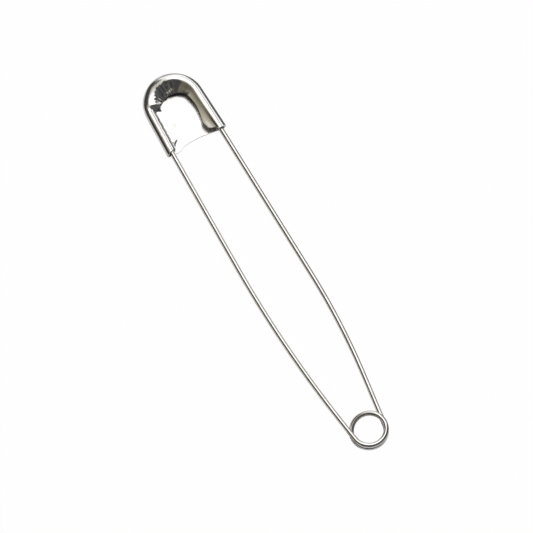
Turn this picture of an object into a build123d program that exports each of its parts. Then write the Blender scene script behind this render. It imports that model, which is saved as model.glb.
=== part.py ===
"""Large sprung-wire safety pin, closed, lying on the smooth face of its cap.

Millimetres. +Z is up, out of the open back of the cap. +Y runs from the coil to the cap.
The origin is under the middle of the pin, on the surface that it lies on.
The fixed arm is on the -X side and the pointed arm on the +X side.
"""
import math
import os

from build123d import *

# Whole pin
overall_length = 127.0

# Wire
wire_diameter = 1.45
point_length = 9.0
point_end_diameter = 0.16

# Coil
coil_outer_diameter = 11.2
coil_strand_gap = 0.47        # clear height between the two strands at the far side
coil_lead = 7.6               # degrees that each arm spreads where it leaves the coil
coil_tail = 1.3               # straight wire from the coil to the bend
bend_clearance = 0.03         # round the short length of wire where the pointed arm bends

# Arms
fixed_arm_bow = 370.0         # radius of the gentle bow
pointed_arm_bow = 220.0
arm_closing = 1.15            # degrees that each arm leans in on its way to the cap
seat_bend = 60.0              # radius where an arm levels out at the cap's mouth

# Cap
cap_length = 22.2
cap_mouth_width = 19.0
cap_height = 3.4
cap_flare = 2.2               # degrees that each side leans out towards the mouth
sheet = 0.45
front_roll = 2.0              # radius of the rolled edge at the smooth face
flap_slope = 10.0             # degrees that the turned-over flap dips towards its free edge
flap_reach = 6.6              # how far the flap is turned over before its edge is trimmed

# Trimmed edge of the flap: shares of half the mouth's width, out from the middle plane,
# and of the cap's length, down from its top
window_top_shares = (0.105, 0.284)
window_left_corner_shares = (0.484, 0.374)
window_right_corner_shares = (0.421, 0.360)
guard_waist_shares = (0.516, 0.559)
guard_heel_shares = (0.421, 0.811)
guard_curl_shares = (0.474, 0.905)
guard_toe_shares = (0.621, 0.946)
rim_end_shares = (0.768, 0.959)

# Crimp, where the edge of the sheet is closed hard round the fixed arm
crimp_squeeze = 0.01
crimp_side_room = 0.5         # empty room in the crimp, between the wire and the cap's side
crimp_end_room = 0.57         # empty end of the crimp, past the end of the wire
strip_reach = 4.9             # from the cap's side to the free edge of the pressed strip
strip_end_at_tube = 1.4       # from the mouth to the strip's slanted end
strip_end_at_edge = 3.6

# Edge of the front plate at the mouth: distances from the mouth
plate_end_at_guard = 0.6
plate_end_at_middle = 1.1
plate_end_at_crimp = 1.0
plate_step_width = 1.5        # slanted step beside the crimp
plate_step_height = 0.8

# Seat of the point under the guard
guard_side_gap = 0.525        # from the inner face of the cap's side to the wire
guard_lift_share = 0.367      # share of the free height in the guard that is under the wire
point_past_side = 2.13        # how far the point reaches past the cap's straight side

overrun = 2.0

# Sizes worked out from the ones above
wire_radius = wire_diameter / 2
coil_radius = (coil_outer_diameter - wire_diameter) / 2
coil_layer = wire_diameter + coil_strand_gap
coil_y = (coil_outer_diameter - overall_length) / 2
top_y = overall_length / 2
mouth_y = top_y - cap_length
half_mouth = cap_mouth_width / 2
back_roll = cap_height - front_roll
crimp_radius = wire_radius + sheet
crimp_wire_inset = crimp_radius + crimp_side_room
crimp_width = crimp_wire_inset + crimp_radius

lean = math.radians(cap_flare)
lead = math.radians(coil_lead)
slope = math.radians(flap_slope)
closing = math.radians(arm_closing)
arch_radius = (half_mouth - cap_length * math.tan(lean)) / (
    math.cos(lean) - (1 - math.sin(lean)) * math.tan(lean)
)
side_length = (cap_length - arch_radius * (1 - math.sin(lean))) / math.cos(lean)

guard_free_height = cap_height - 2 * sheet - wire_diameter
point_inset = sheet + guard_side_gap + wire_radius
point_height = sheet + guard_lift_share * guard_free_height + wire_radius


# Cap

def side_directions(side):
    """Unit vectors up a straight side of the cap and square to it, inwards."""
    along = Vector(-side * math.sin(lean), math.cos(lean))
    inward = Vector(-side * math.cos(lean), -math.sin(lean))
    return along, inward


def side_point(side, inset, up):
    """Point at a distance in from a side of the cap and a distance up from the mouth."""
    along, inward = side_directions(side)
    return Vector(side * half_mouth, mouth_y) + inward * inset + along * up


def section_plane(side):
    """Plane across a side of the cap at its mouth: X runs inwards and Y runs up."""
    along, inward = side_directions(side)
    return Plane(origin=side_point(side, 0, 0), x_dir=inward, z_dir=along * side)


def cap_point(shares, side=1):
    """Point at shares of half the mouth's width from the middle and of the length from the top."""
    across_share, down_share = shares
    return Vector(side * across_share * half_mouth, top_y - down_share * cap_length)


def rolled_rim():
    """Rolled edge and turned-over flap, up the guard's side and round the arch."""
    flap_top = Vector(back_roll + back_roll * math.sin(slope), front_roll + back_roll * math.cos(slope))
    inner_roll = back_roll - sheet
    flap_under = Vector(back_roll + inner_roll * math.sin(slope), front_roll + inner_roll * math.cos(slope))
    edge_top = Vector(flap_reach, flap_top.Y - (flap_reach - flap_top.X) * math.tan(slope))
    edge_under = Vector(flap_reach, flap_under.Y - (flap_reach - flap_under.X) * math.tan(slope))
    with BuildSketch(section_plane(1)) as section:
        with BuildLine():
            CenterArc((front_roll, front_roll), front_roll, 180, 90)
            Line((front_roll, 0), (front_roll, sheet))
            CenterArc((front_roll, front_roll), front_roll - sheet, 180, 90)
            CenterArc((back_roll, front_roll), inner_roll, 90 - flap_slope, 90 + flap_slope)
            Line(flap_under, edge_under)
            Line(edge_under, edge_top)
            Line(edge_top, flap_top)
            CenterArc((back_roll, front_roll), back_roll, 90 - flap_slope, 90 + flap_slope)
        make_face()
    with BuildLine() as route:
        Line(side_point(1, 0, 0), side_point(1, 0, side_length))
        ThreePointArc(side_point(1, 0, side_length), (0, top_y), side_point(-1, 0, side_length))
    return sweep(section.sketch, path=route.wire())


def front_plate():
    """Flat front of the cap inside the rolled edge, with its curved edge at the mouth."""
    guard_end = side_point(1, front_roll, plate_end_at_guard)
    guard_top = side_point(1, front_roll, side_length)
    crimp_top = side_point(-1, front_roll, side_length)
    step_foot = side_point(-1, front_roll, plate_end_at_crimp - plate_step_height)
    step_top = side_point(-1, front_roll + plate_step_width, plate_end_at_crimp)
    with BuildSketch() as outline:
        with BuildLine():
            Line(guard_end, guard_top)
            ThreePointArc(guard_top, (0, top_y - front_roll), crimp_top)
            Line(crimp_top, step_foot)
            Line(step_foot, step_top)
            ThreePointArc(step_top, (0, mouth_y + plate_end_at_middle), guard_end)
        make_face()
    return extrude(outline.sketch, sheet)


def crimp():
    """Edge of the sheet closed round the fixed arm, and the strip pressed flat beside it."""
    with BuildSketch(section_plane(-1)) as section:
        with Locations((crimp_width / 2, crimp_radius)):
            SlotCenterToCenter(crimp_side_room, 2 * crimp_radius)
        with Locations((crimp_radius, 0)):
            Rectangle(front_roll - crimp_radius, sheet, align=(Align.MIN, Align.MIN))
        with Locations((crimp_radius, sheet)):
            Rectangle(strip_reach - crimp_radius, sheet, align=(Align.MIN, Align.MIN))
        with Locations((crimp_width / 2, crimp_radius)):
            SlotCenterToCenter(crimp_side_room, 2 * (wire_radius - crimp_squeeze), mode=Mode.SUBTRACT)
    along, _ = side_directions(-1)
    closed = extrude(section.sketch, side_length, dir=along)
    with BuildSketch(Plane.XY.offset(sheet)) as slant:
        with BuildLine():
            Polyline(
                side_point(-1, crimp_width, -overrun),
                side_point(-1, crimp_width, strip_end_at_tube),
                side_point(-1, strip_reach, strip_end_at_edge),
                side_point(-1, strip_reach + overrun, strip_end_at_edge),
                side_point(-1, strip_reach + overrun, -overrun),
                close=True,
            )
        make_face()
    return closed - extrude(slant.sketch, cap_height)


def window():
    """What is open in the back of the cap, between the strip and the guard's free edge."""
    left_corner = cap_point(window_left_corner_shares, -1)
    right_corner = cap_point(window_right_corner_shares)
    heel = cap_point(guard_heel_shares)
    toe = cap_point(guard_toe_shares)
    rim_end = cap_point(rim_end_shares)
    with BuildSketch(Plane.XY.offset(2 * sheet)) as outline:
        with BuildLine():
            ThreePointArc(left_corner, cap_point(window_top_shares), right_corner)
            ThreePointArc(right_corner, cap_point(guard_waist_shares), heel)
            ThreePointArc(heel, cap_point(guard_curl_shares), toe)
            Polyline(
                toe,
                rim_end,
                Vector(rim_end.X, mouth_y - overrun),
                Vector(left_corner.X, mouth_y - overrun),
                left_corner,
            )
        make_face()
    return extrude(outline.sketch, cap_height)


def cap():
    """One stamped and rolled sheet: front plate, rolled rim with its guard, and crimp."""
    return rolled_rim() + front_plate() + crimp() - window()


# Wire

def tube(route, across=None):
    """Round wire along a route. Its first end is square to the route, or to another direction."""
    plane = Plane(origin=route @ 0, z_dir=across or route % 0)
    return sweep(plane * Circle(wire_radius), path=route)


def coil_place(angle):
    """Point of the coil's centre line, and its direction, at an angle in degrees."""
    turn = math.radians(angle)
    drop_start = math.tau - lead
    drop_turn = math.pi + 2 * lead
    share = min(max((turn - drop_start) / drop_turn, 0), 1)
    height = wire_radius + coil_layer * (1 + math.cos(math.pi * share)) / 2
    fall = -coil_layer * math.pi * math.sin(math.pi * share) / (2 * drop_turn)
    place = Vector(coil_radius * math.cos(turn), coil_y + coil_radius * math.sin(turn), height)
    direction = Vector(-coil_radius * math.sin(turn), coil_radius * math.cos(turn), fall)
    return place, direction.normalized()


def add_biarc(start, start_direction, end, end_direction):
    """Two arcs that leave and arrive in the given directions and join smoothly."""
    span = end - start
    both = start_direction + end_direction
    bend = 2 * (1 - start_direction.dot(end_direction))
    reach = (math.sqrt(span.dot(both) ** 2 + bend * span.dot(span)) - span.dot(both)) / bend
    middle = (start + end + (start_direction - end_direction) * reach) / 2
    leaving = TangentArc(start, middle, tangent=start_direction)
    TangentArc(middle, end, tangent=leaving % 1)


def bend_point():
    """Middle of the short length of wire where the pointed arm bends."""
    place, direction = coil_place(720 - coil_lead)
    return place + direction * coil_tail


def coil_route():
    """Once and a half round: level on top, down a layer at the cap's side, level below."""
    angles = [180 + coil_lead, 270, 360 - coil_lead, 450, 540 + coil_lead, 630, 720 - coil_lead]
    places = [coil_place(angle) for angle in angles]
    with BuildLine() as route:
        for first, second in zip(places, places[1:]):
            add_biarc(*first, *second)
        Line(places[-1][0], bend_point())
    return route.wire()


def least_gap(route):
    """Least clear distance between lengths of the wire that aren't next to each other."""
    steps = 400
    points = [route @ (step / steps) for step in range(steps + 1)]
    apart = math.ceil(3 * wire_diameter / route.length * steps)
    return min(
        (points[second] - points[first]).length - wire_diameter
        for first in range(steps + 1)
        for second in range(first + apart, steps + 1)
    )


def arm_route(side, start, seat, depth, bow):
    """Arm from the coil to its seat at the cap's mouth, and on into the cap."""
    leaving = Vector(side * math.sin(lead), math.cos(lead))
    arriving = Vector(-side * math.sin(closing), math.cos(closing))
    along, _ = side_directions(side)
    gap = seat - start
    turn = lead + closing
    first_run = (gap.X * arriving.Y - gap.Y * arriving.X) / math.sin(side * turn)
    second_run = (gap.Y - first_run * leaving.Y) / arriving.Y
    rise = Vector(0, 0, gap.Z) * (first_run / (first_run + second_run))
    corner = start + leaving * first_run + rise
    room = min(first_run, second_run - seat_bend * turn) / math.tan(turn / 2)
    points = (start, corner, seat, seat + along * depth)
    return FilletPolyline(*points, radius=[min(bow, room), seat_bend]).wire()


def fixed_arm():
    """Arm held in the crimp."""
    start, direction = coil_place(180 + coil_lead)
    seat = side_point(-1, crimp_wire_inset, 0) + Vector(0, 0, crimp_radius)
    route = arm_route(-1, start, seat, side_length - crimp_end_room, fixed_arm_bow)
    return tube(route, -direction)


def spring_coil():
    """Coil between the arms, hollowed at its end for the bend."""
    route = coil_route()
    print(f"spring_coil: least gap to itself {least_gap(route):.3f} mm")
    hollow = Pos(*bend_point()) * Sphere(wire_radius + bend_clearance)
    return tube(route) - hollow


def wire_bend():
    """Short length of wire at the coil that does the pointed arm's bending."""
    return Pos(*bend_point()) * Sphere(wire_radius)


def pointed_arm():
    """Arm with the sharp point, which rests under the guard."""
    seat = side_point(1, point_inset, 0) + Vector(0, 0, point_height)
    full_wire = side_length + point_past_side - point_length
    route = arm_route(1, bend_point(), seat, full_wire, pointed_arm_bow)
    hollow = Pos(*bend_point()) * Sphere(wire_radius + bend_clearance)
    taper = Plane(origin=route @ 1, z_dir=route % 1) * Cone(
        wire_radius,
        point_end_diameter / 2,
        point_length,
        align=(Align.CENTER, Align.CENTER, Align.MIN),
    )
    return tube(route) - hollow + taper


os.makedirs("parts", exist_ok=True)
for node in (cap, fixed_arm, spring_coil, wire_bend, pointed_arm):
    export_step(node(), f"parts/{node.__name__}.step")
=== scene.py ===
"""Large sprung-wire safety pin, closed, lying on the smooth face of its cap.

Metres in Blender; sizes below are written in millimetres and made metres where a mesh is built.
+Y runs from the coil to the cap, +Z is up out of the open back of the cap.
"""
import math

import bmesh
import bpy
from mathutils import Matrix, Vector, noise


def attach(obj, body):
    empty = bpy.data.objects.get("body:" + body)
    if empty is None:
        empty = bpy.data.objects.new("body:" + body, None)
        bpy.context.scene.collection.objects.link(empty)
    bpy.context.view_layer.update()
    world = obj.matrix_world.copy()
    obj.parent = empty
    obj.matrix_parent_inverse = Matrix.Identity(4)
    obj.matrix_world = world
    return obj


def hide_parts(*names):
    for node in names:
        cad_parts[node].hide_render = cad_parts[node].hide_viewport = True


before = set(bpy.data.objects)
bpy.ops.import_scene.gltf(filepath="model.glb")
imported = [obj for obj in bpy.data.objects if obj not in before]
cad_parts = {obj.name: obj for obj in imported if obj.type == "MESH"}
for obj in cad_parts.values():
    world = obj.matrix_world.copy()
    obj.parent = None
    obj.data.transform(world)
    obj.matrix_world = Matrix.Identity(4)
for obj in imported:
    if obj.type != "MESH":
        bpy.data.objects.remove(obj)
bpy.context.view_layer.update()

# Fixed arm and coil: one length of nickel-plated spring-steel wire. It is drawn to size, wound
# once and a half round a mandrel, and its first end is closed hard in the cap's crimp.
millimetre = 0.001
wire_radius = 0.725
wire_sides = 32
wire_map = "wire_map"      # texture map of the wire: round it, then along it
end_edge = 0.08            # rounded edge of the squared end
edge_middle = 0.3          # share of that edge by which its middle stands in
end_ring_gap = 0.2         # plain ring just past each end, so that its shading stays there
ring_reach = 0.05          # how far along the line on both sides a ring takes its direction
bend_facet = 2.0           # length of one step round a bend of an arm
least_bend_facets = 8
sharp_edge = math.radians(50)

coil_middle_y = -57.9
coil_radius = 4.875
coil_layer = 1.92          # height of the upper turn over the lower one
coil_lead = 7.6            # degrees of turn that the arms leave out at each end
coil_first_angle = 180 + coil_lead
coil_last_angle = 720 - coil_lead
coil_drop_start = math.radians(360 - coil_lead)
coil_drop_turn = math.radians(180 + 2 * coil_lead)
coil_steps = 131
lead_out = 1.3             # straight wire from the coil to the middle of the bend
cup_radius = 0.755         # hollow in the wire's ends round the ball of the bend
cup_rings = 6
crimp_height = 1.175       # middle of the wire where the crimp holds it


def rounded_line(points, radii):
    """Centre line through the points, with each corner between them rounded to its radius."""
    points = [Vector(point) for point in points]
    line = [points[0]]
    for before, corner, after, radius in zip(points, points[1:], points[2:], radii):
        arriving = (corner - before).normalized()
        leaving = (after - corner).normalized()
        turn = arriving.angle(leaving)
        start = corner - arriving * radius * math.tan(turn / 2)
        centre = corner + (leaving - arriving).normalized() * radius / math.cos(turn / 2)
        steps = max(least_bend_facets, math.ceil(radius * turn / bend_facet))
        for step in range(steps + 1):
            swing = Matrix.Rotation(turn * step / steps, 3, arriving.cross(leaving))
            line.append(centre + swing @ (start - centre))
    return line + [points[-1]]


def coil_point(angle):
    """Point of the coil's centre line at an angle in degrees."""
    turn = math.radians(angle)
    share = min(max((turn - coil_drop_start) / coil_drop_turn, 0), 1)
    height = wire_radius + coil_layer * (1 + math.cos(math.pi * share)) / 2
    return Vector((coil_radius * math.cos(turn), coil_middle_y + coil_radius * math.sin(turn), height))


def flat_end(edge):
    """Squared end of the wire with its edge slightly rounded."""
    inset = edge * edge_middle
    return [(0, 0), (0, wire_radius - edge), (inset, wire_radius - inset), (edge, wire_radius)]


def cupped_end():
    """End hollowed to hold the ball of the bend: distances are from the ball's middle."""
    end = []
    for ring in range(cup_rings + 1):
        radius = wire_radius * ring / cup_rings
        end.append((math.sqrt(cup_radius ** 2 - radius ** 2), radius))
    return end


def point_along(line, lengths, distance):
    """Point of a line at a distance from its start, from the lengths up to each of its points."""
    at = max(index for index, length in enumerate(lengths[:-1]) if length <= max(distance, 0))
    share = (distance - lengths[at]) / (lengths[at + 1] - lengths[at])
    return line[at].lerp(line[at + 1], share)


def tube_rings(lengths, first_end, last_end):
    """Every ring of the wire as (distance from the start, radius), both ends included."""
    whole = lengths[-1]
    first_reach = max(distance for distance, _ in first_end) + end_ring_gap
    last_reach = max(distance for distance, _ in last_end) + end_ring_gap
    rings = first_end + [(first_reach, wire_radius)]
    rings += [(length, wire_radius) for length in lengths if first_reach < length < whole - last_reach]
    last_end = [(last_reach, wire_radius)] + last_end
    return rings + [(whole - distance, radius) for distance, radius in last_end]


def tube(name, line, first_end, last_end):
    """Round wire along a line. Each end is a list of (distance in from the end, radius)."""
    lengths = [0]
    for before, after in zip(line, line[1:]):
        lengths.append(lengths[-1] + (after - before).length)
    whole = lengths[-1]
    rings = tube_rings(lengths, first_end, last_end)

    mesh = bmesh.new()
    lanes = mesh.loops.layers.uv.new(wire_map)
    side = (line[1] - line[0]).orthogonal().normalized()
    made = []
    for distance, radius in rings:
        behind = point_along(line, lengths, max(distance - ring_reach, 0))
        beyond = point_along(line, lengths, min(distance + ring_reach, whole))
        ahead = (beyond - behind).normalized()
        side = (side - ahead * side.dot(ahead)).normalized()
        up = ahead.cross(side)
        middle = point_along(line, lengths, distance)
        if radius == 0:
            made.append([mesh.verts.new(middle * millimetre)])
            continue
        ring = []
        for step in range(wire_sides):
            angle = math.tau * step / wire_sides
            spoke = side * math.cos(angle) + up * math.sin(angle)
            ring.append(mesh.verts.new((middle + spoke * radius) * millimetre))
        made.append(ring)
    for index, (near, far) in enumerate(zip(made, made[1:])):
        for step in range(wire_sides):
            after = (step + 1) % wire_sides
            corners = [near[step % len(near)], near[after % len(near)],
                       far[after % len(far)], far[step % len(far)]]
            places = [(step, index), (step + 1, index), (step + 1, index + 1), (step, index + 1)]
            if len(near) == 1:
                del corners[1], places[1]
            if len(far) == 1:
                del corners[2], places[2]
            face = mesh.faces.new(corners)
            for loop, (lane, row) in zip(face.loops, places):
                loop[lanes].uv = (lane / wire_sides, rings[row][0] / whole)
    bmesh.ops.recalc_face_normals(mesh, faces=mesh.faces)
    return finished(name, mesh)


def finished(name, mesh):
    """A smooth-shaded object of that name made from the mesh."""
    data = bpy.data.meshes.new(name)
    mesh.to_mesh(data)
    mesh.free()
    data.shade_smooth()
    data.set_sharp_from_angle(angle=sharp_edge)
    made = bpy.data.objects.new(name, data)
    bpy.context.scene.collection.objects.link(made)
    return made


class Socket:
    """One socket of a material. A sum of sockets and numbers adds the Math nodes that it needs."""

    def __init__(self, tree, link=None):
        self.tree = tree
        self.link = link

    def node(self, kind, settings, values, output=0):
        """A node of that kind: its settings first, then the values or links of its sockets."""
        made = self.tree.nodes.new(kind)
        for name, value in settings.items():
            setattr(made, name, value)
        for name, value in values.items():
            if isinstance(value, Socket):
                self.tree.links.new(value.link, made.inputs[name])
            else:
                made.inputs[name].default_value = value
        return Socket(self.tree, made.outputs[output] if made.outputs else None)

    def math(self, operation, *values):
        return self.node("ShaderNodeMath", {"operation": operation}, dict(enumerate(values)))

    def __add__(self, other):
        return self.math("ADD", self, other)

    def __sub__(self, other):
        return self.math("SUBTRACT", self, other)

    def __rsub__(self, other):
        return self.math("SUBTRACT", other, self)

    def __mul__(self, other):
        return self.math("MULTIPLY", self, other)

    __radd__ = __add__
    __rmul__ = __mul__

    def eased(self, low, high):
        """0 below low and 1 above high, or the other way round, with a soft step between."""
        values = {"Value": self, "From Min": low, "From Max": high}
        return self.node("ShaderNodeMapRange", {"interpolation_type": "SMOOTHSTEP"}, values)

    def mixed(self, first, second):
        """Two colours mixed by this value."""
        return self.node("ShaderNodeMix", {"data_type": "RGBA"}, {0: self, 6: first, 7: second}, 2)

    def place(self, kind="Object"):
        """Where a spot is on its piece, or which way it faces."""
        return self.node("ShaderNodeTexCoord", {}, {}, kind)

    def axis(self, index):
        """One number of this vector: 0 for x, 1 for y and 2 for z."""
        return self.node("ShaderNodeSeparateXYZ", {}, {0: self}, index)

    def stretched(self, scales):
        """This vector with each of its numbers scaled by itself."""
        return self.node("ShaderNodeVectorMath", {"operation": "MULTIPLY"}, {0: self, 1: scales})

    def vector(self, x, y, z):
        return self.node("ShaderNodeCombineXYZ", {}, {0: x, 1: y, 2: z})

    def cloud(self, where, scale, detail=2.0, rough=0.5):
        """Soft random field from 0 to 1 over a vector."""
        values = {"Vector": where, "Scale": scale, "Detail": detail, "Roughness": rough}
        return self.node("ShaderNodeTexNoise", {}, values)

    def cells(self, where, scale, feature="F1"):
        """Distance field of random cells over a vector."""
        return self.node("ShaderNodeTexVoronoi", {"feature": feature}, {"Vector": where, "Scale": scale})

    def bumped(self, height, strength, distance, under=None):
        """Surface raised by a height field, over the bumps of an earlier one."""
        values = {"Height": height, "Strength": strength, "Distance": distance}
        if under:
            values["Normal"] = under
        return self.node("ShaderNodeBump", {}, values)

    def metal(self, colour, roughness, normal):
        """Close the material with a metal surface."""
        values = {"Base Color": colour, "Metallic": 1.0, "Roughness": roughness, "Normal": normal}
        surface = self.node("ShaderNodeBsdfPrincipled", {}, values)
        self.node("ShaderNodeOutputMaterial", {}, {"Surface": surface})


def new_material(name):
    """An empty material and a socket holder for its nodes."""
    material = bpy.data.materials.new(name)
    material.use_nodes = True
    material.node_tree.nodes.clear()
    return material, Socket(material.node_tree)


# Finish of the wire. A field is (cells to the metre, detail), a limit is (from, to) of a field,
# a bump is (strength, depth in metres), and each _rough adds its share to the roughness.
wire_colour = (0.90, 0.895, 0.88, 1)
wire_tint = (0.80, 0.785, 0.75, 1)
tint_limit = (0.35, 0.75)
wire_rough = 0.09
die_cells = (9.0, 30.0)            # to a radian round the wire, and to its whole length
die_field = (1.0, 4.0, 0.7)
die_rough = 0.10
die_bump = (0.35, 0.000004)
wire_patch_field = (420.0, 3.0)
wire_patch_rough = 0.06
wire_pit_cells = 1500.0
wire_pit_limit = (0.16, 0.05)
wire_pit_field = 160.0
wire_pit_area = (0.52, 0.62)
wire_pit_rough = 0.2
wire_pit_bump = (0.4, -0.000004)
grind_cells = (3.0, 2600.0)        # round the wire, and to its whole length
grind_field = (1.0, 2.0)
grind_start = 0.01                 # share of the length over which the grinding begins
grind_rough = 0.08
grind_ring_rough = 0.15
grind_bump = (0.5, 0.000003)
never_ground = 2.0                 # share of the length past its end


def drawn_wire(name, ground_from):
    """Bright plated wire with fine lines from the die, ground rougher past a share of its length."""
    material, start = new_material(name)
    where = start.place()
    lanes = start.node("ShaderNodeUVMap", {"uv_map": wire_map}, {})
    around, along = lanes.axis(0), lanes.axis(1)
    turn = around * math.tau
    die_round, die_along = die_cells
    drawn = start.vector(
        start.math("COSINE", turn) * die_round, start.math("SINE", turn) * die_round, along * die_along)
    lines = start.cloud(drawn, *die_field)
    patches = start.cloud(where, *wire_patch_field)
    pitted = start.cloud(where, wire_pit_field).eased(*wire_pit_area)
    pits = start.cells(where, wire_pit_cells).eased(*wire_pit_limit) * pitted
    ground = along.eased(ground_from, ground_from + grind_start)
    grind_round, grind_along = grind_cells
    rings = start.cloud(start.vector(around * grind_round, along * grind_along, 0.0), *grind_field)
    colour = patches.eased(*tint_limit).mixed(wire_colour, wire_tint)
    roughness = wire_rough + lines * die_rough + patches * wire_patch_rough + pits * wire_pit_rough
    roughness = roughness + ground * (grind_rough + rings * grind_ring_rough)
    normal = start.bumped(lines, *die_bump)
    normal = start.bumped(ground * rings, *grind_bump, normal)
    normal = start.bumped(pits, *wire_pit_bump, normal)
    start.metal(colour, roughness, normal)
    return material


coil_end_turn = math.radians(coil_last_angle)
leaving = Vector((-math.sin(coil_end_turn), math.cos(coil_end_turn), 0))
bend_middle = coil_point(coil_last_angle) + leaving * lead_out
fixed_arm_points = (
    coil_point(coil_first_angle), (-9.1757, -25.9912, 2.1626),
    (-7.8262, 41.2357, crimp_height), (-7.3272, 54.2253, crimp_height))
fixed_arm_bends = (370.0, 60.0)

held_line = list(reversed(rounded_line(fixed_arm_points, fixed_arm_bends)))
for step in range(1, coil_steps + 1):
    held_line.append(coil_point(coil_first_angle + (coil_last_angle - coil_first_angle) * step / coil_steps))
held_line.append(bend_middle)
held_wire = tube("held_wire", held_line, flat_end(end_edge), list(reversed(cupped_end())))
held_wire.data.materials.append(drawn_wire("nickel_wire_held", never_ground))
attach(held_wire, "held")
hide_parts("fixed_arm", "spring_coil")

# Bend: the short length of the same wire beside the coil, where the sprung arm does its bending.
# It is the wire itself, kept as a ball so that both neighbours close round it at every pose.
bend_patch_field = (900.0, 3.0)
bend_patch_rough = 0.08
bend_line_scales = (12000.0, 900.0, 12000.0)
bend_line_field = (1.0, 3.0)
bend_line_rough = 0.08
bend_line_bump = (0.3, 0.000004)
bend_rough = 0.08

bend_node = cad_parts["wire_bend"]
bend_material, bend_start = new_material("nickel_wire_bend")
bend_where = bend_start.place()
bend_patches = bend_start.cloud(bend_where, *bend_patch_field)
bend_lines = bend_start.cloud(bend_where.stretched(bend_line_scales), *bend_line_field)
bend_start.metal(
    bend_patches.eased(*tint_limit).mixed(wire_colour, wire_tint),
    bend_rough + bend_patches * bend_patch_rough + bend_lines * bend_line_rough,
    bend_start.bumped(bend_lines, *bend_line_bump),
)
bend_node.material_slots[0].material = bend_material

# Pointed arm: the free end of the wire, sprung against the guard. It bows gently, runs level
# under the guard and is ground to a long sharp point.
guarded_height = 1.5604    # middle of the wire under the guard
pointed_arm_points = (
    bend_middle, (9.154, -26.1541, 0.9904),
    (7.8013, 41.2347, guarded_height), (7.1986, 56.9224, guarded_height))
pointed_arm_bends = (220.0, 60.0)
point_length = 9.0
point_end_radius = 0.08
point_end_edge = (0.02, 0.8)       # distance in from the very end, and share of the end's radius there
point_rings = 14
point_hollow = 0.03        # how far the ground sides curve in
ground_share = 0.921       # of the arm's length, up to where the point begins

pointed_line = rounded_line(pointed_arm_points, pointed_arm_bends)
point_end = [(0, 0), (point_end_edge[0], point_end_radius * point_end_edge[1])]
for ring in range(1, point_rings + 1):
    share = ring / point_rings
    cone = point_end_radius + (wire_radius - point_end_radius) * share
    point_end.append((point_length * share, cone - point_hollow * math.sin(math.pi * share)))
pointed_wire = tube("pointed_wire", pointed_line, cupped_end(), list(reversed(point_end)))
pointed_wire.data.materials.append(drawn_wire("nickel_wire_pointed", ground_share))
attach(pointed_wire, "pointed_arm")
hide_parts("pointed_arm")

# Cap: one stamped piece of thin steel sheet, nickel plated. Its edge is rolled over all round
# and comes back over the open face. It is closed hard round the fixed arm on one side, and on
# the other it stays open inwards as the guard for the point.
cap_top_y = 63.5
cap_length = 22.2
cap_mouth_y = cap_top_y - cap_length
cap_half_mouth = 9.5
cap_lean = math.radians(2.2)       # of each side, inwards from the mouth up
lean_across, lean_along = math.sin(cap_lean), math.cos(cap_lean)

# The arch reaches the cap's top and runs smoothly into both straight sides
arch_radius = (cap_half_mouth * lean_along - cap_length * lean_across) / (1 - lean_across)
arch_middle = Vector((0, cap_top_y - arch_radius))
cap_side = cap_half_mouth * lean_across + (arch_middle.y - cap_mouth_y) * lean_along

sheet = 0.45
half_sheet = sheet / 2
cut_edge = 0.10                    # rounding of the sheet's cut edges
cut_edge_facets = 3
cap_height = 3.4
front_roll = 2.0                   # radius of the edge's roll as it leaves the front plate
crimp_half_width = 1.58
crimp_wrap = 250                   # degrees that the crimp goes round the wire

# Angles round the arch are in degrees from the guard's side to the crimp's side
shoulder_drop = 0.75               # how far the roll's widest place comes down on the way to the crimp
shoulder_angles = (108, 140)
crest_drop = 0.95                  # how far the roll's top comes down on the way to the crimp
crest_angles = (66, 142)
closing_angles = (156, 177.8)      # where the open roll closes to become the crimp

# Rows of the mesh go round the edge, and its columns from the plate over to the free edge
side_steps = 30
arch_steps = 132
plate_columns = 16
roll_columns = 22
mouth_crowding = 1.4               # power by which the mesh rows stand closer towards the mouth
flap_crowding = 1.15               # and its columns towards the roll
mouth_reach = 9.0                  # how far up from the mouth the trimmed ends bend the mesh rows
mouth_fade = 1.5                   # power by which that dies away

# Free edge of the turned-over flap, from the crimp's side over the top and down the guard
window_left_corner = (-4.6, 55.2)
window_top = (1.0, 57.2)
window_right_corner = (4.0, 55.5)
guard_waist = (4.9, 51.1)
guard_heel = (4.0, 45.5)
guard_heel_foot = (4.2, 44.3)
guard_curl = (4.5, 43.4)
edge_arc_steps = 24
curl_arc_steps = 8
least_reach, most_reach = 2, 8     # of the flap from the side to its free edge
left_reach = 4.4                   # where the flap's edge runs into the strip's
parallel = 1e-9                    # an edge nearly in line with the way inwards is passed over


def arc_points(first, middle, last, steps):
    """Points along the circular arc through three points in the plan."""
    first, middle, last = Vector(first), Vector(middle), Vector(last)
    one, two = middle - first, last - first
    twice = 2 * (one.x * two.y - one.y * two.x)
    one_square, two_square = one.dot(one), two.dot(two)
    across = Vector((
        two.y * one_square - one.y * two_square, one.x * two_square - two.x * one_square)) / twice
    centre = first + across
    angles = [math.atan2((point - centre).y, (point - centre).x) for point in (first, middle, last)]
    turn = (angles[2] - angles[0]) % math.tau
    if (angles[1] - angles[0]) % math.tau > turn:
        turn -= math.tau
    spokes = [angles[0] + turn * step / steps for step in range(steps + 1)]
    return [centre + Vector((math.cos(spoke), math.sin(spoke))) * across.length for spoke in spokes]


free_edge = arc_points(window_left_corner, window_top, window_right_corner, edge_arc_steps)
free_edge += arc_points(window_right_corner, guard_waist, guard_heel, edge_arc_steps)[1:]
free_edge += arc_points(guard_heel, guard_heel_foot, guard_curl, curl_arc_steps)[1:]


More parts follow.
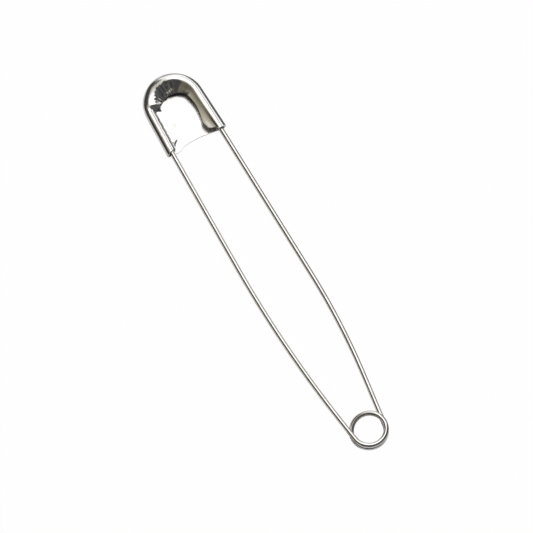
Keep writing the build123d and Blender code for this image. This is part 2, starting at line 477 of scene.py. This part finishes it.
def edge_reach(base, inward):
    """Distance from the cap's outer edge inwards to the flap's free edge."""
    for start, end in zip(free_edge, free_edge[1:]):
        span, gap = end - start, start - base
        facing = inward.x * span.y - inward.y * span.x
        if abs(facing) < parallel:
            continue
        reach = (gap.x * span.y - gap.y * span.x) / facing
        share = (gap.x * inward.y - gap.y * inward.x) / facing
        if 0 <= share <= 1 and least_reach < reach < most_reach:
            return reach
    return None


def soft_step(value, low, high):
    """0 below low and 1 above high, with a soft step between."""
    share = min(max((value - low) / (high - low), 0), 1)
    return share * share * (3 - 2 * share)


def between(angle, start, finish):
    """1 between two pairs of angles and 0 outside them, soft within each pair."""
    return soft_step(angle, *start) * (1 - soft_step(angle, *finish))


def hump(distance, half_width):
    """1 in the middle of a rounded hump, falling to nothing on both sides."""
    return math.exp(-(distance / half_width) ** 2)


def wave(along, size, rate, row, layer=0):
    """Height of a wave of smooth noise at a place along one of its rows."""
    return size * noise.noise(Vector((along * rate, row, layer)))


def crossed_wave(along, across, size, rate, across_rate, layer):
    """Height of a field of smooth noise over two directions."""
    return size * noise.noise(Vector((along * rate, across * across_rate, layer)))


def side_lines(side):
    """Foot of one side of the cap at the mouth, and the directions inwards and up along it."""
    foot = Vector((side * cap_half_mouth, cap_mouth_y))
    inward = Vector((-side * lean_along, -lean_across))
    along = Vector((-side * lean_across, lean_along))
    return foot, inward, along


def stations():
    """Places round the cap's outer edge: (point, direction inwards, direction up, up, shut)."""
    ups = [cap_side * (step / side_steps) ** mouth_crowding for step in range(side_steps)]
    foot, inward, along = side_lines(1)
    rows = [(foot + along * up, inward, along, up, 0.0) for up in ups]
    for step in range(arch_steps + 1):
        angle = cap_lean + (math.pi - 2 * cap_lean) * step / arch_steps
        out = Vector((math.cos(angle), math.sin(angle)))
        shut = soft_step(math.degrees(angle), *closing_angles)
        rows.append((arch_middle + out * arch_radius, -out, None, cap_side, shut))
    foot, inward, along = side_lines(-1)
    rows += [(foot + along * up, inward, along, up, 1.0) for up in reversed(ups)]
    return rows


# Round the arch, by angle: where the roll is highest and where the flap bends down (distances in
# from the side), how steeply it dips there and how fast that eases off
ring_table = (
    (0, 1.75, 2.38, 0.38, 0.10),
    (25, 1.75, 2.35, 0.46, 0.06),
    (45, 1.80, 2.30, 0.46, 0.03),
    (90, 1.85, 2.30, 0.42, 0.02),
    (115, 2.05, 2.60, 0.42, 0.02),
    (138, 2.30, 3.30, 0.45, 0.02),
    (160, 2.40, 3.80, 0.45, 0.02),
    (180, 2.20, 3.60, 0.45, 0.02),
)
flap_fall = 0.045                  # slope of the flap before it bends down
easing_reach = 2.0                 # how far past the bend its dip eases off


def ring_values(angle):
    """Row of the ring table at an angle, between its nearest rows."""
    for near, far in zip(ring_table, ring_table[1:]):
        if angle <= far[0]:
            share = max(angle - near[0], 0) / (far[0] - near[0])
            return [low + (high - low) * share for low, high in zip(near[1:], far[1:])]
    return ring_table[-1][1:]


# Ragged flap over the arch. A wave is (size, waves to the degree, row and layer of the noise).
ragged_start = (62, 84)
ragged_finish = (160, 176)
ragged_edge = ((0.55, 0.11, 3.0), (0.30, 0.37, 7.0))
ragged_crease = (0.7, 0.13, 1.0, 2.0)


def open_section(reach, angle, ragged):
    """Sheet's middle line through the guard: the roll, then the flap to its free edge."""
    line = []
    crest_in, crease, steep, easing = ring_values(angle)
    crease += ragged * wave(angle, *ragged_crease)
    widest = front_roll - shoulder_drop * soft_step(angle, *shoulder_angles)
    top = cap_height - crest_drop * soft_step(angle, *crest_angles)
    half = roll_columns // 2
    for column in range(half):
        turn = math.radians(270 - 90 * column / half)
        inset = front_roll + (front_roll - half_sheet) * math.cos(turn)
        line.append((inset, widest + (widest - half_sheet) * math.sin(turn)))
    for column in range(half + 1):
        turn = math.radians(180 - 90 * column / half)
        inset = crest_in + (crest_in - half_sheet) * math.cos(turn)
        line.append((inset, widest + (top - widest - half_sheet) * math.sin(turn)))
    start, crest = line[-1]
    for column in range(1, flap_columns + 1):
        inset = start + (reach - start) * (column / flap_columns) ** flap_crowding
        before = min(inset, crease) - start
        past = max(inset - crease, 0)
        curved = min(past, easing_reach)
        dip = curved * (steep - easing * curved / 2) + (past - curved) * (steep - easing * easing_reach)
        line.append((inset, crest - before * flap_fall - dip))
    return line


# Strip beside the crimp: its middle line as (distance in, height), and how far up its end is cut
shut_flap = (
    (2.843, 1.500), (2.90, 1.275), (2.95, 1.09), (3.01, 0.93), (3.09, 0.81), (3.19, 0.73), (3.31, 0.697),
    (3.45, 0.695), (3.63, 0.695), (3.88, 0.695), (4.15, 0.695), (4.55, 0.695), (4.9, 0.695))
strip_end_up = (1.15, 1.25, 1.32, 1.38, 1.44, 1.52, 1.68, 1.95, 2.25, 2.6, 2.95, 3.3, 3.6)
strip_reach = shut_flap[-1][0]
flap_columns = len(shut_flap) - 1
loose_end_lift = 0.16              # of the strip's cut end off the plate
loose_end_power = 4
loose_end_insets = (2.9, 3.6)
crimp_end_start = 0.35             # share of the roll's columns from which its end slopes up


def shut_section():
    """Sheet's middle line through the crimp: round the wire, then flat on the plate."""
    line = []
    for column in range(roll_columns):
        angle = math.radians(270 - crimp_wrap * column / roll_columns)
        inset = crimp_half_width + (crimp_half_width - half_sheet) * math.cos(angle)
        line.append((inset, crimp_height + (crimp_height - half_sheet) * math.sin(angle)))
    return line + list(shut_flap)


# Trimmed ends at the mouth: (distance in from the cap's side, distance up from the mouth)
guard_flap_end = (
    (1.90, 0), (2.0, 0), (2.12, 0.05), (2.22, 0.20), (2.32, 0.45), (2.45, 0.72), (2.75, 0.95),
    (3.15, 1.08), (3.6, 1.22), (4.1, 1.45), (4.55, 1.78), (4.80, 2.1), (4.92, 2.5))
guard_plate_end = ((front_roll, 0), (2.15, 0.20), (2.35, 0.40), (2.7, 0.53), (3.2, 0.60))
guard_end_reach, guard_end_up = guard_flap_end[-1]
crimp_plate_end = (
    (crimp_half_width, 0), (1.9, 0), (2.7, 0.02), (3.6, 0.06), (4.4, 0.22), (4.95, 0.52), (5.25, 0.95))
plate_middle_up = 1.1
mouth_middle_y = cap_mouth_y + plate_middle_up


def plate_end(table, side):
    """Plan points of the plate's trimmed edge at the mouth, from the roll to the middle."""
    foot, inward, along = side_lines(side)
    points = [foot + inward * inset + along * up for inset, up in table]
    last = points[-1]
    rest = plate_columns - len(table) + 1
    for column in range(1, rest + 1):
        share = column / rest
        height = last.y + (mouth_middle_y - last.y) * math.sin(share * math.pi / 2)
        points.append(Vector((last.x * (1 - share), height)))
    return points


# Folds gathered in the flap: (angle, half width, depth, how far past the crease each begins)
folds = (
    (76, 7.0, 0.14, 0.8),
    (97, 6.0, 0.24, 0.5),
    (113, 5.0, 0.34, 0.0),
    (127, 4.5, 0.36, -0.2),
    (141, 5.0, 0.34, 0.2),
    (157, 5.0, 0.26, 0.4),
)
fold_slant = 4.0                   # degrees that a fold leans for each millimetre inwards
fold_growth = 2.0                  # distance in which a fold reaches its full depth
rumple_start = (56, 76)
rumple_finish = (164, 176)
rumple_insets = (-0.4, 1.0)        # past the crease
rumple = (0.26, 0.075, 0.7, 5.0)   # size, waves to the degree and to the millimetre, layer of the noise
crumple = (0.10, 0.19, 1.5, 9.0)


def puckers(angle, past):
    """Depth of the folds gathered in the flap where it is turned over the arch."""
    depth = 0
    for middle, half_width, size, start in folds:
        slanted = middle + fold_slant * (past - 1)
        depth += size * hump(angle - slanted, half_width) * soft_step(past, start, start + fold_growth)
    spread = between(angle, rumple_start, rumple_finish) * soft_step(past, *rumple_insets)
    return depth + spread * (crossed_wave(angle, past, *rumple) + crossed_wave(angle, past, *crumple))


# Small loose fold where the flap runs into the pressed strip
lobe_height = 0.22
lobe_start = (160, 168)
lobe_finish = (173, 178)
lobe_inset = 4.6
lobe_half_width = 0.5


def lobe(angle, inset):
    """Height of the small loose fold left where the flap runs into the pressed strip."""
    return lobe_height * between(angle, lobe_start, lobe_finish) * hump(inset - lobe_inset, lobe_half_width)


open_line_at_mouth = open_section(guard_end_reach, 0, 0)
shut_line = shut_section()


def mouth_share(along, up):
    """How much the trimmed ends bend a row: 1 at the mouth, 0 far up and round the arch."""
    return max(1 - up / mouth_reach, 0) ** mouth_fade if along else 0


def flap_reach(side, base, inward, along, fade):
    """Distance from the side to the free edge of the flap or of the pressed strip."""
    if side < 0 and along:
        return strip_reach
    lifted = base + along * guard_end_up * fade if along else base
    reach = edge_reach(lifted, inward)
    if reach is None:
        return guard_end_reach if side > 0 else left_reach
    return reach


# Wavy seam along the crimp. A wave is (size, waves to the millimetre, row of the noise).
seam_from = 0.7                    # share of the roll's columns
seam_full = 5                      # flap column up to which it is at its full size
seam_gone = 8
seam_shift = (0.16, 0.8, 11.0)
seam_rise = (0.12, 1.7, 15.0)


def sheet_section(side, base, inward, along, up, shut):
    """Points of the sheet's middle at one place round the edge, from the plate to the free edge."""
    fade = mouth_share(along, up)
    if along:
        angle = 0 if side > 0 else 180
    else:
        angle = math.degrees(math.atan2(base.y - arch_middle.y, base.x))
    ragged = between(angle, ragged_start, ragged_finish)
    reach = flap_reach(side, base, inward, along, fade)
    reach += ragged * sum(wave(angle, *edge_wave) for edge_wave in ragged_edge)
    crease = ring_values(angle)[1]
    section = []
    for column, (opened, closed) in enumerate(zip(open_section(reach, angle, ragged), shut_line)):
        inset = opened[0] + (closed[0] - opened[0]) * shut
        height = opened[1] + (closed[1] - opened[1]) * shut
        lift = 0
        if column > roll_columns:
            flap_column = column - roll_columns
            if not along:
                height -= puckers(angle, inset - crease) * (1 - shut)
                height += lobe(angle, inset)
            if fade and side > 0:
                end_in, end_up = guard_flap_end[flap_column]
                inset += (end_in - open_line_at_mouth[column][0]) * fade
                lift = end_up * fade
            if fade and side < 0:
                lift = strip_end_up[flap_column] * fade
                height += loose_end_lift * fade ** loose_end_power * soft_step(inset, *loose_end_insets)
        elif fade and side < 0:
            sloped = soft_step(column, roll_columns * crimp_end_start, roll_columns)
            lift = sloped * strip_end_up[0] * fade
        if side < 0 and column > roll_columns * seam_from:
            seam = shut * (1 - soft_step(column, roll_columns + seam_full, roll_columns + seam_gone))
            inset += seam * wave(up, *seam_shift)
            height += seam * wave(up, *seam_rise)
        plan = base + inward * inset
        if along:
            plan += along * lift
        section.append(Vector((plan.x, plan.y, height)))
    return section


def plate_row(roll_foot, middle_y, ends, fade):
    """Plan points of the front plate from the roll's foot towards the cap's middle line."""
    row = []
    for column in range(1, plate_columns):
        share = column / plate_columns
        point = roll_foot.lerp(Vector((0, middle_y)), share)
        if fade:
            point += (ends[column] - ends[0].lerp(ends[-1], share)) * fade
        row.append(point)
    return row


# Dents of handling: (waves to the millimetre, share, shift of the noise), and their depths
dent_waves = ((0.42, 0.6, (0, 0, 0)), (1.1, 0.4, (9, 4, 2)))
plate_dent = 0.018
roll_dent = 0.032
plate_skin = 0.01                  # how near to its middle height the plate's own corners are
ridge_start = (24, 44)             # of the raised ring on the plate, by angle
ridge_finish = (88, 106)
ridge_height = 0.07
ridge_radius = 6.75
ridge_half_width = 0.28
box_room = 0.002                   # left between the sheet and the CAD cap's top and bottom


def dent(mesh):
    """Press small dings into the sheet, raise the ring on its plate and make it metres."""
    for vert in mesh.verts:
        place = vert.co.copy()
        dents = sum(part * noise.noise(place * rate + Vector(shift)) for rate, part, shift in dent_waves)
        on_plate = place.z < half_sheet + plate_skin
        size = plate_dent if on_plate else roll_dent
        facing = -1 if on_plate and vert.normal.z < 0 else 1
        vert.co -= vert.normal * size * (0.5 + 0.5 * dents) * facing
        spoke = Vector((place.x, place.y - arch_middle.y))
        if on_plate and spoke.y > 0:
            angle = math.degrees(math.atan2(spoke.y, spoke.x))
            ring = hump(spoke.length - ridge_radius, ridge_half_width)
            vert.co.z += ridge_height * between(angle, ridge_start, ridge_finish) * ring
        vert.co.z = min(max(vert.co.z, half_sheet + box_room), cap_height - half_sheet - box_room)
        vert.co *= millimetre


def build_cap():
    """The whole cap as one sheet of no thickness, in rows from its middle line out and over."""
    mesh = bmesh.new()
    rows = stations()
    last_row = len(rows) - 1
    plate_ends = {1: plate_end(guard_plate_end, 1), -1: plate_end(crimp_plate_end, -1)}
    spine = {}
    grid = []
    for index, (base, inward, along, up, shut) in enumerate(rows):
        side = 1 if index <= last_row / 2 else -1
        section = sheet_section(side, base, inward, along, up, shut)
        mirrored = min(index, last_row - index) if along else "arch"
        middle_y = arch_middle.y
        if along:
            middle_y = mouth_middle_y + (arch_middle.y - mouth_middle_y) * up / cap_side
        if mirrored not in spine:
            spine[mirrored] = mesh.verts.new((0, middle_y, half_sheet))
        plate = plate_row(section[0].xy, middle_y, plate_ends[side], mouth_share(along, up))
        row = [spine[mirrored]]
        row += [mesh.verts.new((point.x, point.y, half_sheet)) for point in reversed(plate)]
        row += [mesh.verts.new(point) for point in section]
        grid.append(row)
    for near, far in zip(grid, grid[1:]):
        for column in range(len(near) - 1):
            corners = [near[column], near[column + 1], far[column + 1], far[column]]
            unique = list(dict.fromkeys(corners))
            if len(unique) >= 3:
                mesh.faces.new(unique)
    bmesh.ops.recalc_face_normals(mesh, faces=mesh.faces)
    mesh.normal_update()
    dent(mesh)
    return finished("cap_sheet", mesh)


# Finish of the sheet, written as the wire's is
cap_colour = (0.905, 0.90, 0.885, 1)
cap_tint = (0.80, 0.79, 0.765, 1)
cap_tarnish = (0.62, 0.60, 0.56, 1)
pit_tarnish = 0.6
scratch_tarnish = 0.15
front_heights = (0.00020, 0.00006)         # of the smooth front, in metres
inside_floor = (0.00030, 0.00040)          # of the plate's inner face
inside_ceiling = (0.00065, 0.00052)
under_facing = (-0.15, -0.5)               # upward part of the normal under the flap
under_heights = (0.0010, 0.0014)
cap_rough = 0.06
front_rough = 0.16
front_peel_rough = 0.12
inside_rough = 0.17
inside_peel_rough = 0.05
under_rough = 0.60
under_peel_rough = 0.2
grain_scales = (9000.0, 420.0, 9000.0)
grain_field = (1.0, 4.0, 0.65)
grain_rough = 0.07
grain_bump = (0.25, 0.000003)
peel_field = (1500.0, 3.0, 0.6)
peel_bump = (0.35, 0.000012)
peel_rolled_out = 0.75                     # share of the orange peel missing from the plate's inner face
wave_field = (330.0, 2.0)
wave_bump = (0.5, 0.000014)
patch_field = (190.0, 4.0, 0.6)
patch_rough = 0.05
pit_cells = 2100.0
pit_limit = (0.20, 0.06)
pit_field = 260.0
pit_area = (0.50, 0.60)
pit_rough = 0.15
long_scratches = (0.6, (2600.0, 120.0, 700.0), (0.018, 0.004))
crossing_scratches = (-0.9, (2200.0, 90.0, 700.0), (0.014, 0.003))
scratch_area = (0.45, 0.6)
scratch_rough = 0.12
mark_scratch_depth = 0.4                   # depth of a scratch beside that of a pit
mark_bump = (0.5, -0.000006)


def scratched(start, where, turn, scales, limit):
    """Thin lines along the borders of long narrow cells, turned an angle from the pin's length."""
    values = {"Vector": where, "Rotation": (0, 0, turn), "Scale": scales}
    cells = start.node("ShaderNodeMapping", {}, values)
    return start.cells(cells, 1.0, "DISTANCE_TO_EDGE").eased(*limit)


def pressed_sheet(name):
    """Bright plated sheet: rolling grain, orange peel from the press, small pits and scratches."""
    material, start = new_material(name)
    where = start.place()
    height = where.axis(2)
    front = height.eased(*front_heights)
    inside = height.eased(*inside_floor) * height.eased(*inside_ceiling)
    under = start.place("Normal").axis(2).eased(*under_facing) * height.eased(*under_heights)
    grain = start.cloud(where.stretched(grain_scales), *grain_field)
    peel = start.cloud(where, *peel_field)
    waves = start.cloud(where, *wave_field)
    patches = start.cloud(where, *patch_field)
    pits = start.cells(where, pit_cells).eased(*pit_limit) * start.cloud(where, pit_field).eased(*pit_area)
    scratches = scratched(start, where, *long_scratches) + scratched(start, where, *crossing_scratches)
    scratches = scratches * patches.eased(*scratch_area)
    colour = patches.eased(*tint_limit).mixed(cap_colour, cap_tint)
    colour = (pits * pit_tarnish + scratches * scratch_tarnish).mixed(colour, cap_tarnish)
    roughness = cap_rough + grain * grain_rough + patches * patch_rough
    roughness = roughness + front * (front_rough + peel * front_peel_rough)
    roughness = roughness + inside * (inside_rough + peel * inside_peel_rough)
    roughness = roughness + under * (under_rough + peel * under_peel_rough)
    roughness = roughness + pits * pit_rough + scratches * scratch_rough
    normal = start.bumped(waves, *wave_bump)
    normal = start.bumped(peel * (1 - inside * peel_rolled_out), *peel_bump, normal)
    normal = start.bumped(grain, *grain_bump, normal)
    normal = start.bumped(pits + scratches * mark_scratch_depth, *mark_bump, normal)
    start.metal(colour, roughness, normal)
    return material


cap_sheet = build_cap()
thick = cap_sheet.modifiers.new("thickness", "SOLIDIFY")
thick.thickness = sheet * millimetre
thick.offset = 0
thick.use_even_offset = True
edges = cap_sheet.modifiers.new("cut_edges", "BEVEL")
edges.width = cut_edge * millimetre
edges.segments = cut_edge_facets
edges.limit_method = "ANGLE"
edges.angle_limit = sharp_edge
cap_sheet.data.materials.append(pressed_sheet("nickel_sheet_pressed"))
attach(cap_sheet, "held")
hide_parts("cap")

# Table: a plain white table under the pin. The camera sees it white with the pin's shadow on it.
# The plating reflects it greyer, with a painted dark reflection beside the guard and another inside the
# coil.
table_half = 1.5                           # metres, as are all sizes of the table
table_level = -0.00002                     # just under the pin's rest face
table_colour = (0.9, 0.9, 0.9, 1)
table_white = (1, 1, 1, 1)
table_glow = 1.03
seen_glow = 0.95                           # share of the glow in the white that the camera sees
reflected_glow = 0.36                      # and in what metal reflects
# Painted dark reflection: dark patches on the table that only glossy rays see, beside the guard and under
# the coil
painted_reflection_colour = (0.06, 0.06, 0.065, 1)
painted_reflection_cover = 0.9
guard_reflection_east = (0.0095, 0.0115)
coil_reflection_north = (-0.0545, -0.0560)
coil_reflection_south = (-0.0625, -0.0610)
coil_reflection_cover = 0.8

table_mesh = bmesh.new()
table_corners = [Vector((x, y, 0)) * table_half for x, y in ((-1, -1), (1, -1), (1, 1), (-1, 1))]
table_mesh.faces.new([table_mesh.verts.new((corner.x, corner.y, table_level)) for corner in table_corners])
table = finished("table", table_mesh)
table_material, table_start = new_material("white_table")
matte = table_start.node("ShaderNodeBsdfDiffuse", {}, {"Color": table_colour})
white = table_start.node("ShaderNodeEmission", {}, {"Color": table_white, "Strength": table_glow})
painted_dark_reflection = table_start.node("ShaderNodeEmission", {}, {"Color": painted_reflection_colour, "Strength": 1.0})
seen = table_start.node("ShaderNodeLightPath", {}, {}, "Is Camera Ray")
glossy = table_start.node("ShaderNodeLightPath", {}, {}, "Is Glossy Ray")
passed = table_start.node("ShaderNodeLightPath", {}, {}, "Is Transmission Ray")
shown = seen * seen_glow + (glossy + passed) * reflected_glow
plain_table = table_start.node("ShaderNodeMixShader", {}, {0: shown, 1: matte, 2: white})
table_place = table_start.place()
table_north = table_place.axis(1)
# Where the painted dark reflections lie: past the guard's side, and in a band under the inside of the coil
guard_painted_reflection = table_place.axis(0).eased(*guard_reflection_east)
coil_painted_reflection = table_north.eased(*coil_reflection_north) * table_north.eased(*coil_reflection_south) * coil_reflection_cover
# Shown to glossy rays only, so this painted reflection darkens the plating but never shows to the camera
painted_reflection_mask = glossy * table_start.math("MAXIMUM", guard_painted_reflection, coil_painted_reflection) * painted_reflection_cover
table_surface = table_start.node("ShaderNodeMixShader", {}, {0: painted_reflection_mask, 1: plain_table, 2: painted_dark_reflection})
table_start.node("ShaderNodeOutputMaterial", {}, {"Surface": table_surface})
table.data.materials.append(table_material)

# Room: a pale room painted by direction alone, since the plating shows what stands round it.
# East, north and level are the parts of a direction towards +X, +Y and +Z, from -1 to 1.
room = bpy.data.worlds.new("room")
room.use_nodes = True
room.node_tree.nodes.clear()
bpy.context.scene.world = room
air = Socket(room.node_tree)
facing = air.place("Generated")
east, north, level = facing.axis(0), facing.axis(1), facing.axis(2)

pale_room = (1.12, 1.12, 1.12, 1)
bright_panel = (2.1, 2.1, 2.1, 1)
front_slant = 0.6                          # how far the dark front draws back on its west side
overhead = north.eased(0.10, 0.20) * east.eased(0.04, 0.12) * level.eased(0.76, 0.84)
above_floor = level.eased(0.03, 0.12)
high_west = level.eased(0.10, 0.40)
thin_strip = east.eased(0.33, 0.40) * east.eased(0.60, 0.53) * level.eased(0.66, 0.74)
pale_north = north.eased(0.78, 0.92) * level.eased(0.50, 0.34)
beige_side = east.eased(0.06, -0.20) * above_floor
olive_side = east.eased(-0.16, -0.50) * high_west * above_floor
dark_west = east.eased(-0.06, -0.20) * level.eased(0.86, 0.74) * high_west * above_floor
dark_corner = east.eased(0.02, -0.12) * north.eased(0.36, 0.48) * level.eased(0.92, 0.85) * high_west
slanted = north - east.math("MINIMUM", east, 0.0) * front_slant
dark_front = slanted.eased(0.15, 0.0) * level.eased(-0.02, 0.06)
dark_east = east.eased(0.60, 0.78) * level.eased(0.50, 0.36)

# Each patch covers those before it: (where it stands, how strongly it covers, its colour)
patches = (
    (thin_strip, 0.85, (0.22, 0.18, 0.13, 1)),
    (pale_north, 0.8, (0.38, 0.38, 0.38, 1)),
    (beige_side, 1.0, (0.46, 0.42, 0.33, 1)),
    (olive_side, 1.0, (0.13, 0.118, 0.085, 1)),
    (dark_west, 1.0, (0.035, 0.035, 0.04, 1)),
    (dark_corner, 0.95, (0.05, 0.05, 0.055, 1)),
    (dark_front, 0.94, (0.04, 0.04, 0.042, 1)),
    (dark_east, 0.94, (0.05, 0.05, 0.055, 1)),
)
tone = overhead.mixed(pale_room, bright_panel)
for patch, cover, colour in patches:
    tone = (patch * cover).mixed(tone, colour)
background = air.node("ShaderNodeBackground", {}, {"Color": tone, "Strength": 1.0})
air.node("ShaderNodeOutputWorld", {}, {"Surface": background})

# Camera: a long lens looking steeply down on the pin, from the coil's end and turned towards the
# fixed arm, so that the pin lies from the picture's upper left to its lower right.
azimuth = math.radians(-29.2)
elevation = math.radians(70)
picture_width = 0.1505                     # metres at the pin, as are the camera's other distances
aim_right = -0.00037
aim_up = -0.00113
nearest_shown = 0.5
farthest_shown = 10
lens = 500                                 # millimetres, as is the sensor
lens_sensor = 36

flat = math.cos(elevation)
back = Vector((math.sin(azimuth) * flat, -math.cos(azimuth) * flat, math.sin(elevation)))
right = Vector((math.cos(azimuth), math.sin(azimuth), 0))
upward = back.cross(right)
camera = bpy.data.objects.new("camera", bpy.data.cameras.new("camera"))
bpy.context.scene.collection.objects.link(camera)
camera.data.lens = lens
camera.data.sensor_width = lens_sensor
camera.data.clip_start = nearest_shown
camera.data.clip_end = farthest_shown
camera.location = right * aim_right + upward * aim_up + back * (picture_width * lens / lens_sensor)
camera.rotation_mode = "QUATERNION"
camera.rotation_quaternion = back.to_track_quat("Z", "Y")
bpy.context.scene.camera = camera
bpy.context.scene.view_settings.view_transform = "Standard"
